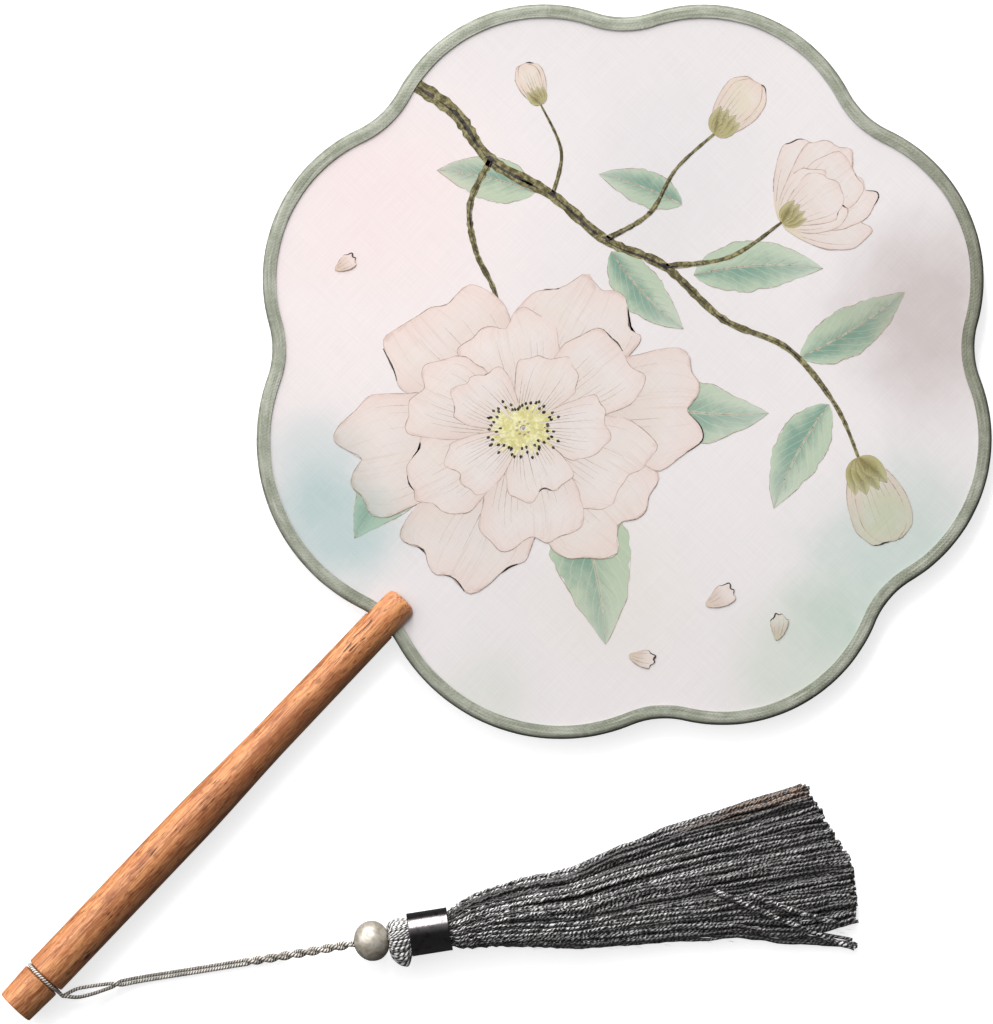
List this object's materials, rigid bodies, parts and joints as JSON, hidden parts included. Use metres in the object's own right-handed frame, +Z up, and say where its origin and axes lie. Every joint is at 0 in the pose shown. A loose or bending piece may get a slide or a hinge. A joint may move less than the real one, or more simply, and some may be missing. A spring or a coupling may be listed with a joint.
{
  "type": "palace fan",
  "caption": "Rigid hand fan: a lobed silk leaf on a bent wire rim, held in a turned wooden handle, with a corded bead and thread tassel at the butt.",
  "frame": {"origin": "on the surface that the fan lies on, under the middle of the fan's length and width, the cord and tassel left out", "axes": "+Y from the handle's butt towards the leaf, +Z up through the leaf's painted front, +X to the side where the tassel lies"},
  "size_m": [0.3128, 0.4238, 0.0152],
  "materials": {
    "handle_wood": "reddish orange-brown turned wood, satin varnish",
    "frame_wire": "plain drawn wire",
    "silk_front": "pinkish off-white plain-weave silk, stretched",
    "silk_back": "pinkish off-white plain-weave silk, stretched",
    "binding_ribbon": "sage-grey woven ribbon, matte",
    "loop_cord": "grey-beige twisted thread",
    "over_cord": "grey-beige twisted thread",
    "under_cord": "grey-beige twisted thread",
    "twisted_cord": "two strands of grey-beige thread twisted together",
    "end_cord": "grey-beige twisted thread",
    "knot_thread": "grey-beige twisted thread",
    "pearl": "champagne pearl lustre",
    "head_thread": "black, grey and white glossy thread",
    "whipping_thread": "dark grey thread",
    "band_metal": "polished dark plated metal",
    "skirt_thread": "charcoal thread with silver glints"
  },
  "bodies": {
    "fan": {"handle": "handle_wood", "frame_wire": "frame_wire", "silk_front": "silk_front", "silk_back": "silk_back", "edge_binding": "binding_ribbon"},
    "loop": {"cord_loop": "loop_cord"},
    "cord": {"cord_strand_over": "over_cord", "cord_strand_under": "under_cord", "cord_twisted": "twisted_cord"},
    "tassel": {"cord_end": "end_cord", "cord_knot": "knot_thread", "tassel_head": "head_thread", "neck_whipping": "whipping_thread", "tassel_band": "band_metal", "tassel_skirt": "skirt_thread"},
    "bead": {"pearl_bead": "pearl"}
  },
  "joints": [
    {"name": "loop_turn", "type": "hinge", "parent": "fan", "child": "loop", "pos_m": [0, -0.19788, 0.0073], "axis": [0, 1, 0], "continuous": true},
    {"name": "cord_swing", "type": "hinge", "parent": "loop", "child": "cord", "pos_m": [0.00905, -0.19788, 0.0073], "axis": [0, 0, -1], "range_deg": [-3, 143]},
    {"name": "tassel_swing", "type": "hinge", "parent": "cord", "child": "tassel", "pos_m": [0.06764, -0.11783, 0.0076], "axis": [0, 0, -1], "range_deg": [-3, 75]},
    {"name": "bead_spin", "type": "hinge", "parent": "tassel", "child": "bead", "pos_m": [0.06764, -0.11783, 0.0076], "axis": [0.6074, 0.7944, 0], "continuous": true}
  ]
}
